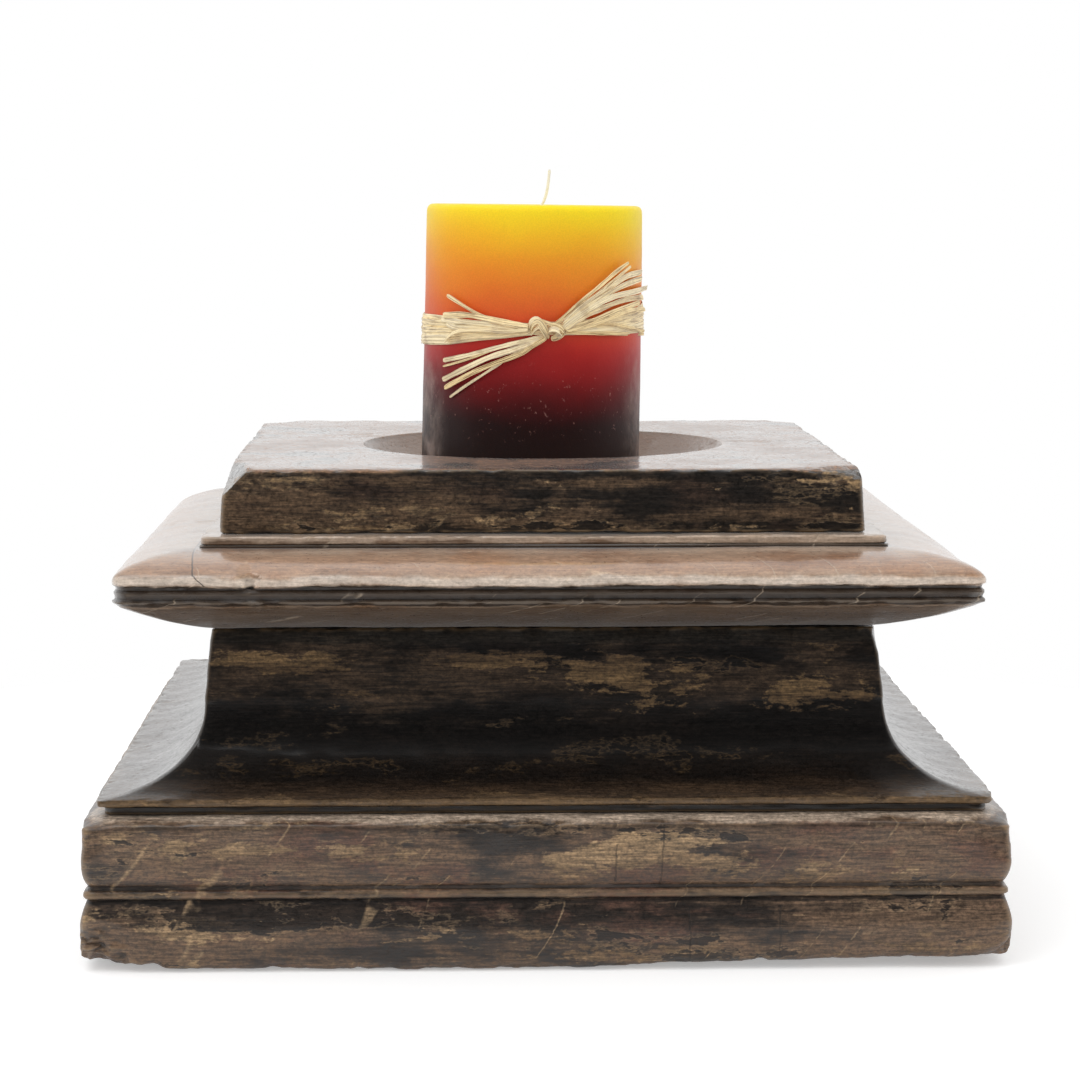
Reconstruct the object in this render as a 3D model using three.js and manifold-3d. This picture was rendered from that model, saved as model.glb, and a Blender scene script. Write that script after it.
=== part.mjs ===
// Square moulded wooden pillar base, used as a candle stand, with its pillar candle and raffia tie.
// Millimetres, +Z up, origin at the middle of the underside, front towards -Y.
import * as THREE from 'three';
import { mergeVertices } from 'three/addons/utils/BufferGeometryUtils.js';
import Module from 'manifold-3d';

const wasm = await Module();
wasm.setup();

// Driving dimensions. A "half" is half the width of a square board, and each board's heights
// are counted from its own underside.
const seam = 0.3; // between two boards, and round every piece that only rests on another
const curveSteps = 8; // straight stretches in each curve of a board's outline
const edgeSteps = 4; // and in the small rounds of the candle
const roundSides = 64; // sides of the dish, the candle and the band

const base = {
  half: 145.3, // widest line of the lower band
  height: 48.3,
  footRound: 4,
  topRound: 2,
  widestHeight: 11,
  grooveDepth: 2, // the grooves beside the bead lie this far inside the lower band
  beadMiddle: 24, // height of the middle of the bead
  beadRadius: 3.2, // half its height
  beadStand: 1.3, // how far it stands out of its grooves
  upperInset: 0.6, // the upper band is this much narrower than the lower one
  bandShoulder: 7, // how far above the bead the upper band reaches its width
};

const neck = {
  ledge: 4.9, // the base block's top stands out this far past the neck's foot
  filletHeight: 4.9, // plain edge below the hollow curve
  waistHalf: 108.6, // where the hollow curve meets the upright side
  waistHeight: 31.4,
  taper: 2.4, // the side leans in by this much above the waist
  height: 53.6,
  footPull: 15.8, // the curve leaves the foot almost level for this far
  waistPull: 20, // and meets the side almost upright for this far
};

const moulding = {
  lap: 0.4, // its underside is this much wider than the neck's top
  lipHalf: 135.4,
  lipStart: 11.1, // underside of the lip
  lipEnd: 17.8, // where the rounded upper side begins
  lipGrooveHeight: 14.6,
  lipGrooveRadius: 0.9,
  undersideSag: 1.6, // the sloping underside bows down by this much
  shoulderHalf: 109.2, // upright step on top
  shoulderHeight: 2.7,
  height: 29.4,
  lipFullness: 0.6, // share of the rounded side's rise that stays upright
  shoulderFullness: 0.5, // share of its run that stays level
};

const slab = {
  ledge: 5.8, // the moulding's step stands out this far past the slab
  taper: 1.4, // the slab is this much narrower at its top
  height: 20.3,
  edgeRound: 0.8,
};

const candle = {
  radius: 38.2,
  height: 96.2,
  topRound: 3.5,
  footRound: 1.5,
  offsetX: -1.6, // it stands a little off the middle of the slab
  offsetY: 0,
};

const dish = {
  depth: 13,
  floorMargin: 11.8, // its flat floor is this much wider than the candle
  wallRun: 13.5, // from the edge of the floor out to the rim
  offsetX: 2.4,
};

const wick = {
  radius: 1.1,
  proud: 12.6, // above the candle
  bend: 4.6, // how far its tip leans to +X
  clearance: 0.4, // round it in its hole
  sides: 8,
  steps: 24, // along its length
};

// Dowels of each joint: a square of four, set in from the side of the board above the joint
const baseDowel = { radius: 6, length: 36, inset: 20.6 };
const neckDowel = { radius: 6, length: 26, inset: 44 };
const slabDowel = { radius: 5, length: 22, inset: 21.4 };
const dowelChamfer = 1;
const dowelFit = 0.3; // round each dowel in its bore
const dowelEndGap = 1; // past each end of a dowel
const dowelSides = 20;

const raffia = {
  thickness: 0.8,
  bandHeight: 9.5,
  bandMiddle: 54.8, // above the foot of the candle
  bandRise: 0.08, // rise towards +X for each millimetre across
  knotHalfWidth: 6.1,
  knotHalfDepth: 3.2,
  knotHalfHeight: 4.2,
  knotSides: 16,
  knotRings: 10,
  knotOffsetX: 3.4, // from the axis of the candle
  tailLean: 8, // degrees, the tails lean back towards the candle
};

// Cut ends of the tie. The rise is in degrees above level, reach is from the middle of the knot.
const tails = [
  { name: 'raffia_tail_upper_left', side: -1, rise: 18.8, reach: 34.8, rootWidth: 1, endWidth: 1.3 },
  { name: 'raffia_tail_left', side: -1, rise: 1, reach: 34.2, rootWidth: 1.6, endWidth: 9 },
  { name: 'raffia_tail_lower_left', side: -1, rise: -26, reach: 37.6, rootWidth: 1.6, endWidth: 11 },
  { name: 'raffia_tail_right', side: 1, rise: 22, reach: 37, rootWidth: 1.2, endWidth: 9 },
  { name: 'raffia_tail_upper_right', side: 1, rise: 37.5, reach: 36, rootWidth: 1, endWidth: 2 },
];

// Widths that follow from what a piece stands on or holds
const baseUpperHalf = base.half - base.upperInset;
const neckFootHalf = baseUpperHalf - neck.ledge;
const neckTopHalf = neck.waistHalf - neck.taper;
const slabHalf = moulding.shoulderHalf - slab.ledge;
const dishFloorRadius = candle.radius + dish.floorMargin;
const dishRadius = dishFloorRadius + dish.wallRun;

// Heights of the underside of each board, and of the candle, above the ground
const neckBottom = base.height + seam;
const mouldingBottom = neckBottom + neck.height + seam;
const slabBottom = mouldingBottom + moulding.height + seam;
const slabTop = slabBottom + slab.height;
const candleBottom = slabTop - dish.depth + seam;

// Materials

const colors = {
  base: 0x4a3828,
  neck: 0x3f3024,
  moulding: 0x6b4a35,
  slab: 0x53402f,
  dowel: 0x8a6238,
  wax: 0xe0701e,
  cotton: 0xece7db,
  straw: 0xd9bd85,
};

function wood(color) {
  return new THREE.MeshStandardMaterial({ color, roughness: 0.55, metalness: 0 });
}

function wax() {
  return new THREE.MeshStandardMaterial({ color: colors.wax, roughness: 0.4, metalness: 0 });
}

function cotton() {
  return new THREE.MeshStandardMaterial({ color: colors.cotton, roughness: 0.9, metalness: 0 });
}

function straw() {
  return new THREE.MeshStandardMaterial({ color: colors.straw, roughness: 0.75, metalness: 0 });
}

// Solids

// Turns an outline, drawn upwards from the axis and back to it, into a round solid along +Z
function turned(outline, sides) {
  const geometry = new THREE.LatheGeometry(outline, sides);
  return geometry.rotateX(Math.PI / 2);
}

// The same outline carried round a square, with mitred corners
function squareMoulded(path) {
  const outline = path.getPoints(curveSteps);
  for (const point of outline) {
    point.x *= Math.SQRT2;
  }
  const geometry = new THREE.LatheGeometry(outline, 4, Math.PI / 4);
  return geometry.rotateX(Math.PI / 2);
}

// A closed geometry as a solid that can be cut, without the triangles that collapse at the axis
function toSolid(geometry) {
  const bare = geometry.clone();
  bare.deleteAttribute('normal');
  bare.deleteAttribute('uv');
  const merged = mergeVertices(bare);
  const corners = merged.index.array;
  const kept = [];
  for (let i = 0; i < corners.length; i += 3) {
    const [a, b, c] = corners.slice(i, i + 3);
    if (a !== b && b !== c && c !== a) {
      kept.push(a, b, c);
    }
  }
  const vertProperties = new Float32Array(merged.attributes.position.array);
  const triVerts = new Uint32Array(kept);
  return new wasm.Manifold(new wasm.Mesh({ numProp: 3, vertProperties, triVerts }));
}

function toGeometry(solid) {
  const mesh = solid.getMesh();
  const geometry = new THREE.BufferGeometry();
  geometry.setAttribute('position', new THREE.BufferAttribute(mesh.vertProperties, 3));
  geometry.setIndex(new THREE.BufferAttribute(mesh.triVerts, 1));
  geometry.computeVertexNormals();
  return geometry;
}

function cutFrom(geometry, cutters) {
  let solid = toSolid(geometry);
  for (const cutter of cutters) {
    solid = solid.subtract(toSolid(cutter));
  }
  return toGeometry(solid);
}

// Outlines of the four boards, each from its underside to its top

function baseOutline() {
  const grooveHalf = base.half - base.grooveDepth;
  const beadBottom = base.beadMiddle - base.beadRadius;
  const beadTop = base.beadMiddle + base.beadRadius;
  const path = new THREE.Path();
  path.moveTo(0, 0);
  path.lineTo(base.half - base.footRound, 0);
  path.quadraticCurveTo(base.half, 0, base.half, base.footRound);
  path.lineTo(base.half, base.widestHeight);
  path.quadraticCurveTo(base.half, (base.widestHeight + beadBottom) / 2, grooveHalf, beadBottom);
  path.absellipse(
    grooveHalf, base.beadMiddle, base.beadStand, base.beadRadius, -Math.PI / 2, Math.PI / 2,
  );
  path.quadraticCurveTo(
    baseUpperHalf, beadTop + base.bandShoulder / 2, baseUpperHalf, beadTop + base.bandShoulder,
  );
  path.lineTo(baseUpperHalf, base.height - base.topRound);
  path.quadraticCurveTo(baseUpperHalf, base.height, baseUpperHalf - base.topRound, base.height);
  path.lineTo(0, base.height);
  return path;
}

function neckOutline() {
  const path = new THREE.Path();
  path.moveTo(0, 0);
  path.lineTo(neckFootHalf, 0);
  path.lineTo(neckFootHalf, neck.filletHeight);
  path.bezierCurveTo(
    neckFootHalf - neck.footPull, neck.filletHeight,
    neck.waistHalf, neck.waistHeight - neck.waistPull,
    neck.waistHalf, neck.waistHeight,
  );
  path.lineTo(neckTopHalf, neck.height);
  path.lineTo(0, neck.height);
  return path;
}

function mouldingOutline() {
  const undersideHalf = neckTopHalf + moulding.lap;
  const shoulderStart = moulding.height - moulding.shoulderHeight;
  const rise = shoulderStart - moulding.lipEnd;
  const run = moulding.lipHalf - moulding.shoulderHalf;
  const path = new THREE.Path();
  path.moveTo(0, 0);
  path.lineTo(undersideHalf, 0);
  path.quadraticCurveTo(
    (undersideHalf + moulding.lipHalf) / 2, moulding.lipStart / 2 - moulding.undersideSag,
    moulding.lipHalf, moulding.lipStart,
  );
  path.absarc(
    moulding.lipHalf, moulding.lipGrooveHeight, moulding.lipGrooveRadius,
    -Math.PI / 2, Math.PI / 2, true,
  );
  path.lineTo(moulding.lipHalf, moulding.lipEnd);
  path.bezierCurveTo(
    moulding.lipHalf, moulding.lipEnd + rise * moulding.lipFullness,
    moulding.shoulderHalf + run * moulding.shoulderFullness, shoulderStart,
    moulding.shoulderHalf, shoulderStart,
  );
  path.lineTo(moulding.shoulderHalf, moulding.height);
  path.lineTo(0, moulding.height);
  return path;
}

function slabOutline() {
  const topHalf = slabHalf - slab.taper;
  const path = new THREE.Path();
  path.moveTo(0, 0);
  path.lineTo(slabHalf, 0);
  path.lineTo(topHalf, slab.height - slab.edgeRound);
  path.quadraticCurveTo(topHalf, slab.height, topHalf - slab.edgeRound, slab.height);
  path.lineTo(0, slab.height);
  return path;
}

// The space of the dish, open above the slab
function dishCutter() {
  const path = new THREE.Path();
  path.moveTo(0, 0);
  path.lineTo(dishFloorRadius, 0);
  path.quadraticCurveTo((dishFloorRadius + dishRadius) / 2, 0, dishRadius, dish.depth);
  path.lineTo(dishRadius, dish.depth * 2);
  path.lineTo(0, dish.depth * 2);
  const cutter = turned(path.getPoints(curveSteps), roundSides);
  return cutter.translate(dish.offsetX, 0, slab.height - dish.depth);
}

// Dowels

function dowelPlaces(dowel, boardHalf) {
  const spacing = boardHalf - dowel.inset;
  const places = [];
  for (const x of [-spacing, spacing]) {
    for (const y of [-spacing, spacing]) {
      places.push([x, y]);
    }
  }
  return places;
}

// Bores for one joint's dowels, centred on the height of the seam
function dowelBores(dowel, boardHalf, seamHeight) {
  const radius = dowel.radius + dowelFit;
  const length = dowel.length + 2 * dowelEndGap;
  return dowelPlaces(dowel, boardHalf).map(([x, y]) => {
    const bore = new THREE.CylinderGeometry(radius, radius, length, dowelSides);
    return bore.rotateX(Math.PI / 2).translate(x, y, seamHeight);
  });
}

function dowelGeometry(dowel) {
  const half = dowel.length / 2;
  const path = new THREE.Path();
  path.moveTo(0, -half);
  path.lineTo(dowel.radius - dowelChamfer, -half);
  path.lineTo(dowel.radius, dowelChamfer - half);
  path.lineTo(dowel.radius, half - dowelChamfer);
  path.lineTo(dowel.radius - dowelChamfer, half);
  path.lineTo(0, half);
  return turned(path.getPoints(), dowelSides);
}

function addDowels(group, name, dowel, boardHalf, seamHeight) {
  dowelPlaces(dowel, boardHalf).forEach(([x, y], index) => {
    const mesh = addMesh(group, `${name}_${index + 1}`, dowelGeometry(dowel), wood(colors.dowel));
    mesh.position.set(x, y, seamHeight);
  });
}

// Candle, wick and raffia, on the axis of the candle and above its foot

function candleGeometry() {
  const hole = wick.radius + wick.clearance;
  const path = new THREE.Path();
  path.moveTo(hole, 0);
  path.lineTo(candle.radius - candle.footRound, 0);
  path.quadraticCurveTo(candle.radius, 0, candle.radius, candle.footRound);
  path.lineTo(candle.radius, candle.height - candle.topRound);
  path.quadraticCurveTo(candle.radius, candle.height, candle.radius - candle.topRound, candle.height);
  path.lineTo(hole, candle.height);
  path.lineTo(hole, 0);
  return turned(path.getPoints(edgeSteps), roundSides);
}

function wickGeometry() {
  const section = new THREE.Shape();
  section.absarc(0, 0, wick.radius, 0, 2 * Math.PI);
  const mouth = new THREE.Vector3(0, 0, candle.height);
  const tip = new THREE.Vector3(wick.bend, 0, candle.height + wick.proud);
  const bow = new THREE.Vector3(0, 0, candle.height + wick.proud / 2);
  const path = new THREE.CurvePath();
  path.add(new THREE.LineCurve3(new THREE.Vector3(0, 0, 0), mouth));
  path.add(new THREE.QuadraticBezierCurve3(mouth, bow, tip));
  return new THREE.ExtrudeGeometry(section, {
    extrudePath: path, steps: wick.steps, curveSegments: wick.sides / 2,
  });
}

// An upright ring round the candle, sheared so that it climbs towards +X
function bandGeometry() {
  const inner = candle.radius + seam;
  const outer = inner + raffia.thickness;
  const half = raffia.bandHeight / 2;
  const path = new THREE.Path();
  path.moveTo(inner, -half);
  path.lineTo(outer, -half);
  path.lineTo(outer, half);
  path.lineTo(inner, half);
  path.lineTo(inner, -half);
  const slope = new THREE.Matrix4().makeShear(0, raffia.bandRise, 0, 0, 0, 0);
  return turned(path.getPoints(), roundSides).applyMatrix4(slope);
}

function knotGeometry() {
  const geometry = new THREE.SphereGeometry(1, raffia.knotSides, raffia.knotRings);
  return geometry.scale(raffia.knotHalfWidth, raffia.knotHalfDepth, raffia.knotHalfHeight);
}

// A flat fan of strands from the knot outwards, drawn along +X and turned to its place
function tailGeometry(tail) {
  const start = raffia.knotHalfWidth + seam;
  const shape = new THREE.Shape();
  shape.moveTo(start, -tail.rootWidth / 2);
  shape.lineTo(tail.reach, -tail.endWidth / 2);
  shape.lineTo(tail.reach, tail.endWidth / 2);
  shape.lineTo(start, tail.rootWidth / 2);
  shape.closePath();
  const geometry = new THREE.ExtrudeGeometry(shape, { depth: raffia.thickness, bevelEnabled: false });
  geometry.translate(0, 0, -raffia.thickness / 2);
  geometry.rotateZ(THREE.MathUtils.degToRad(tail.rise));
  geometry.rotateX(Math.PI / 2);
  const turn = tail.side > 0 ? raffia.tailLean : 180 - raffia.tailLean;
  return geometry.rotateZ(THREE.MathUtils.degToRad(turn));
}

// Assembly

function addMesh(group, name, geometry, material) {
  const mesh = new THREE.Mesh(geometry, material);
  mesh.name = name;
  group.add(mesh);
  return mesh;
}

function addStand(group) {
  const half = seam / 2;
  const baseSeam = base.height + half;
  const neckSeam = mouldingBottom - half;
  const slabSeam = slabBottom - half;

  const baseCuts = dowelBores(baseDowel, neck.waistHalf, baseSeam);
  const baseBlock = cutFrom(squareMoulded(baseOutline()), baseCuts);
  addMesh(group, 'base_block', baseBlock, wood(colors.base));

  const neckCuts = [
    ...dowelBores(baseDowel, neck.waistHalf, baseSeam - neckBottom),
    ...dowelBores(neckDowel, neckTopHalf, neckSeam - neckBottom),
  ];
  const neckBlock = cutFrom(squareMoulded(neckOutline()), neckCuts);
  addMesh(group, 'neck_block', neckBlock, wood(colors.neck)).position.z = neckBottom;

  const mouldingCuts = [
    ...dowelBores(neckDowel, neckTopHalf, neckSeam - mouldingBottom),
    ...dowelBores(slabDowel, slabHalf, slabSeam - mouldingBottom),
  ];
  const mouldingBoard = cutFrom(squareMoulded(mouldingOutline()), mouldingCuts);
  addMesh(group, 'moulding_board', mouldingBoard, wood(colors.moulding)).position.z = mouldingBottom;

  const slabCuts = [dishCutter(), ...dowelBores(slabDowel, slabHalf, slabSeam - slabBottom)];
  const topSlab = cutFrom(squareMoulded(slabOutline()), slabCuts);
  addMesh(group, 'top_slab', topSlab, wood(colors.slab)).position.z = slabBottom;

  addDowels(group, 'base_dowel', baseDowel, neck.waistHalf, baseSeam);
  addDowels(group, 'neck_dowel', neckDowel, neckTopHalf, neckSeam);
  addDowels(group, 'slab_dowel', slabDowel, slabHalf, slabSeam);
}

function addCandle(group) {
  const placed = new THREE.Group();
  placed.position.set(candle.offsetX, candle.offsetY, candleBottom);
  group.add(placed);
  addMesh(placed, 'candle_wax', candleGeometry(), wax());
  addMesh(placed, 'wick', wickGeometry(), cotton());

  addMesh(placed, 'raffia_band', bandGeometry(), straw()).position.z = raffia.bandMiddle;
  const knotPlace = new THREE.Vector3(
    raffia.knotOffsetX,
    -(candle.radius + seam + raffia.thickness + seam + raffia.knotHalfDepth),
    raffia.bandMiddle,
  );
  addMesh(placed, 'raffia_knot', knotGeometry(), straw()).position.copy(knotPlace);
  for (const tail of tails) {
    addMesh(placed, tail.name, tailGeometry(tail), straw()).position.copy(knotPlace);
  }
}

const group = new THREE.Group();
addStand(group);
addCandle(group);

export default group;
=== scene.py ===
import math

import bmesh
import bpy
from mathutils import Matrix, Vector, noise


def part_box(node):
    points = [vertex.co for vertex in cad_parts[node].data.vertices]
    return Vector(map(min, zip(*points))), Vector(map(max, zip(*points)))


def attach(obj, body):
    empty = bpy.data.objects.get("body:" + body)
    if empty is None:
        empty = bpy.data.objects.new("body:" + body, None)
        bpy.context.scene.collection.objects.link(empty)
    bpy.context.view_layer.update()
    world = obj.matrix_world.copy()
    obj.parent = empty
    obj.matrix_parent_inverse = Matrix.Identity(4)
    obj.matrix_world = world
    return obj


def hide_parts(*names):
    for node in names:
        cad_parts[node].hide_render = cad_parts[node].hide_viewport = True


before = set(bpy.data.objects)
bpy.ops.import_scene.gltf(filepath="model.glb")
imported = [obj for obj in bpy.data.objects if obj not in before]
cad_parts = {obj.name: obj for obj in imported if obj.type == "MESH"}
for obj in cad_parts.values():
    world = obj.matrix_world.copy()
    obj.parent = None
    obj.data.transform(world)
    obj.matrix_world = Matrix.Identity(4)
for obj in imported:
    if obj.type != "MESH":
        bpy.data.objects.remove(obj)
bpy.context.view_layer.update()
print("frame loaded")

mm = 0.001
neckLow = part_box("neck_block")[0]
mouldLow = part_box("moulding_board")[0]
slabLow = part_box("top_slab")[0]
waxLow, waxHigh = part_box("candle_wax")
candleX = (waxLow.x + waxHigh.x) / 2
candleY = (waxLow.y + waxHigh.y) / 2


# Camera, light and ground

cameraSetup = {
    "place": (-0.0254, -1.0421, 0.2405),
    "tiltDown": 6.713,      # degrees
    "turnRight": 1.459,
    "lens": 98.62,
    "sensor": 36,
}


def makeCamera(setup):
    bpy.ops.object.camera_add(location=setup["place"])
    camera = bpy.context.object
    camera.name = "camera"
    camera.rotation_euler = (math.radians(90 - setup["tiltDown"]), 0, -math.radians(setup["turnRight"]))
    camera.data.lens = setup["lens"]
    camera.data.sensor_width = setup["sensor"]
    camera.data.clip_end = 50
    bpy.context.scene.camera = camera


# Node helpers. Their values are sockets or plain numbers, and a socket knows the tree it is in.

def wire(node, values):
    # a link for each value that is a socket, or else a plain value
    for label, value in values.items():
        if isinstance(value, bpy.types.NodeSocket):
            node.id_data.links.new(value, node.inputs[label])
        else:
            node.inputs[label].default_value = value


def addNode(tree, kind, values=None, **settings):
    node = tree.nodes.new(kind)
    for key, value in settings.items():
        setattr(node, key, value)
    wire(node, values or {})
    return node


def treeOf(*values):
    return next(value for value in values if isinstance(value, bpy.types.NodeSocket)).id_data


def math2(operation, first, second=0.0, clamp=False):
    node = addNode(treeOf(first, second), "ShaderNodeMath", {0: first, 1: second},
                   operation=operation, use_clamp=clamp)
    return node.outputs[0]


def plus(first, *others):
    for other in others:
        first = math2("ADD", first, other)
    return first


def times(first, *others):
    for other in others:
        first = math2("MULTIPLY", first, other)
    return first


def minus(first, second, clamp=False):
    return math2("SUBTRACT", first, second, clamp)


def sizeOf(value):
    return math2("ABSOLUTE", value)


def spread(value, low, high, outLow=0.0, outHigh=1.0, smooth=True):
    # takes low..high to outLow..outHigh, held at both ends
    ends = {"Value": value, "From Min": low, "From Max": high, "To Min": outLow, "To Max": outHigh}
    node = addNode(treeOf(value), "ShaderNodeMapRange", ends,
                   interpolation_type="SMOOTHSTEP" if smooth else "LINEAR")
    return node.outputs["Result"]


def between(value, low, high, soft, strength=1.0):
    # the strength inside a range with soft ends, in millimetres, and nothing outside it
    lower = spread(value, (low - soft) * mm, (low + soft) * mm, 0.0, strength)
    upper = spread(value, (high - soft) * mm, (high + soft) * mm, 1.0, 0.0)
    return times(lower, upper)


def blendNumber(amount, first, second):
    node = addNode(treeOf(amount, first, second), "ShaderNodeMix", {"Factor": amount, 2: first, 3: second},
                   data_type="FLOAT")
    return node.outputs[0]


def blendColor(amount, first, second, how="MIX"):
    node = addNode(treeOf(amount, first, second), "ShaderNodeMix", {"Factor": amount, 6: first, 7: second},
                   data_type="RGBA", blend_type=how)
    return node.outputs[2]


def axes(vector):
    return tuple(addNode(treeOf(vector), "ShaderNodeSeparateXYZ", {0: vector}).outputs)


def vectorOf(x, y, z=0.0):
    return addNode(treeOf(x, y, z), "ShaderNodeCombineXYZ", {0: x, 1: y, 2: z}).outputs[0]


def stretched(place, scale, shift=(0, 0, 0), turn=(0, 0, 0)):
    node = addNode(treeOf(place), "ShaderNodeMapping", vector_type="POINT")
    wire(node, {"Vector": place, "Scale": scale, "Location": shift, "Rotation": turn})
    return node.outputs["Vector"]


def noiseOf(place, scale, detail=4.0, roughness=0.55, warp=0.0, shift=(0, 0, 0)):
    # noise over a place that is stretched and shifted first
    node = addNode(treeOf(place), "ShaderNodeTexNoise", noise_dimensions="3D")
    wire(node, {"Vector": stretched(place, scale, shift), "Scale": 1.0, "Detail": detail,
                "Roughness": roughness, "Distortion": warp})
    return node.outputs["Fac"]


def newGroup(name, inputs, outputs):
    # a group that takes a position and some numbers, and gives numbers
    group = bpy.data.node_groups.new(name, "ShaderNodeTree")
    group.interface.new_socket("Position", in_out="INPUT", socket_type="NodeSocketVector")
    for label, value in inputs.items():
        group.interface.new_socket(label, in_out="INPUT", socket_type="NodeSocketFloat").default_value = value
    for label in outputs:
        group.interface.new_socket(label, in_out="OUTPUT", socket_type="NodeSocketFloat")
    return group, group.nodes.new("NodeGroupInput").outputs, group.nodes.new("NodeGroupOutput")


def useGroup(group, **values):
    tree = treeOf(*values.values())
    return addNode(tree, "ShaderNodeGroup", values, node_tree=group).outputs


def newMaterial(name):
    material = bpy.data.materials.new(name)
    material.use_nodes = True
    tree = material.node_tree
    position = addNode(tree, "ShaderNodeTexCoord").outputs["Object"]
    return material, tree.nodes["Principled BSDF"], position


def addBump(shader, height, strength, distance):
    # the distance is in millimetres
    bump = addNode(shader.id_data, "ShaderNodeBump",
                   {"Height": height, "Strength": strength, "Distance": distance * mm})
    wire(shader, {"Normal": bump.outputs[0]})


def rayKinds(tree):
    # whether a ray comes from the camera, and whether it was mirrored or let through
    path = addNode(tree, "ShaderNodeLightPath").outputs
    return path["Is Camera Ray"], math2("MAXIMUM", path["Is Glossy Ray"], path["Is Transmission Ray"])


lightSetup = {
    "skyDiffuse": 0.98,
    "skyBack": 1.0,         # what shiny faces mirror behind the stand
    "skyFront": 0.03,       # and in front of it
    "keyPower": 6.0,
    "keySize": 1.2,
    "keyPlace": (-0.7, -0.6, 1.6),
}


def makeWorld(setup):
    world = bpy.data.worlds.new("studio")
    world.use_nodes = True
    bpy.context.scene.world = world
    tree = world.node_tree
    seen, shiny = rayKinds(tree)
    depth = axes(addNode(tree, "ShaderNodeTexCoord").outputs["Generated"])[1]
    mirrored = spread(depth, -0.75, 0.1, setup["skyFront"], setup["skyBack"])
    strength = blendNumber(seen, blendNumber(shiny, setup["skyDiffuse"], mirrored), 1.0)
    wire(tree.nodes["Background"], {"Strength": strength, "Color": (1, 1, 1, 1)})


def makeLight(setup):
    bpy.ops.object.light_add(type="AREA", location=setup["keyPlace"])
    lamp = bpy.context.object
    lamp.name = "soft_light"
    lamp.data.shape = "DISK"
    lamp.data.size = setup["keySize"]
    lamp.data.energy = setup["keyPower"]
    aim = Vector((0, 0, 0.1)) - lamp.location
    lamp.rotation_euler = aim.to_track_quat("-Z", "Y").to_euler()


groundSetup = {
    "radius": 0.46,
    "around": 96,
    "tone": 0.86,
    "roughness": 0.9,
    "glow": 0.34,           # added for the camera and in mirrored rays
}


def makeGround(setup):
    bpy.ops.mesh.primitive_circle_add(vertices=setup["around"], radius=setup["radius"], fill_type="NGON")
    ground = bpy.context.object
    ground.name = "ground"
    material, shader, position = newMaterial("white_paper")
    tree = material.node_tree
    wire(shader, {"Base Color": (setup["tone"],) * 3 + (1,), "Roughness": setup["roughness"]})
    glow = times(math2("MAXIMUM", *rayKinds(tree)), setup["glow"])
    shine = addNode(tree, "ShaderNodeEmission", {"Strength": glow})
    mixed = addNode(tree, "ShaderNodeAddShader", {0: shader.outputs[0], 1: shine.outputs[0]})
    wire(tree.nodes["Material Output"], {"Surface": mixed.outputs[0]})
    ground.data.materials.append(material)


bpy.context.scene.view_settings.view_transform = "Standard"
makeCamera(cameraSetup)
makeWorld(lightSetup)
makeLight(lightSetup)
makeGround(groundSetup)
print("camera, light and ground placed")


# Modelling helpers

near = 0.01 * mm            # how close two places count as the same
rowStep = 1.2               # the longest stretch between two rows of an outline, in millimetres
smoothAngle = 35            # degrees


def selectOnly(*pieces):
    if bpy.context.object and bpy.context.object.mode != "OBJECT":
        bpy.ops.object.mode_set(mode="OBJECT")
    bpy.ops.object.select_all(action="DESELECT")
    for piece in pieces:
        piece.select_set(True)
    if pieces:
        bpy.context.view_layer.objects.active = pieces[0]


def startPiece(name):
    # the primitive that was just added, named and opened for editing
    piece = bpy.context.object
    piece.name = name
    piece.data.name = name
    bpy.ops.object.mode_set(mode="EDIT")
    bpy.ops.mesh.select_all(action="SELECT")
    return piece


def pick(piece, kind, test):
    # selects the vertices, edges or faces whose corners pass a test
    bpy.ops.mesh.select_mode(type=kind)
    bpy.ops.mesh.select_all(action="DESELECT")
    mesh = bmesh.from_edit_mesh(piece.data)
    parts = {"VERT": mesh.verts, "EDGE": mesh.edges, "FACE": mesh.faces}[kind]
    for part in parts:
        corners = [part.co] if kind == "VERT" else [v.co for v in part.verts]
        if test(*corners):
            part.select_set(True)
    mesh.select_flush_mode()
    bmesh.update_edit_mesh(piece.data)


def drawRows(rows, middle=(0, 0), unit=1):
    # draws the picked rim on through rows of half width and height, about an upright axis
    for (half0, z0), (half1, z1) in zip(rows, rows[1:]):
        bpy.ops.mesh.extrude_region_move(TRANSFORM_OT_translate={"value": (0, 0, (z1 - z0) * unit)})
        share = half1 / half0
        bpy.ops.transform.resize(value=(share, share, 1), center_override=(*middle, 0))


def faceOutwards():
    # turns all faces outwards and leaves edit mode
    bpy.ops.mesh.select_all(action="SELECT")
    bpy.ops.mesh.normals_make_consistent(inside=False)
    bpy.ops.object.mode_set(mode="OBJECT")


def finishPiece(piece, material):
    selectOnly(piece)
    bpy.ops.object.transform_apply(location=True, rotation=True, scale=True)
    bpy.ops.object.shade_smooth_by_angle(angle=math.radians(smoothAngle))
    piece.data.materials.clear()
    piece.data.materials.append(material)


def curve(points, steps):
    # a Bezier curve through its end points, without the first one
    made = []
    for i in range(1, steps + 1):
        layer = [Vector(p) for p in points]
        while len(layer) > 1:
            layer = [a.lerp(b, i / steps) for a, b in zip(layer, layer[1:])]
        made.append(tuple(layer[0]))
    return made


def rib(half, middle, stand, radius, steps=6):
    # a small half-round that stands out of an upright side
    made = []
    for i in range(steps + 1):
        turn = math.pi * (i / steps - 0.5)
        made.append((half + stand * math.cos(turn), middle + radius * math.sin(turn)))
    return made


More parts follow.
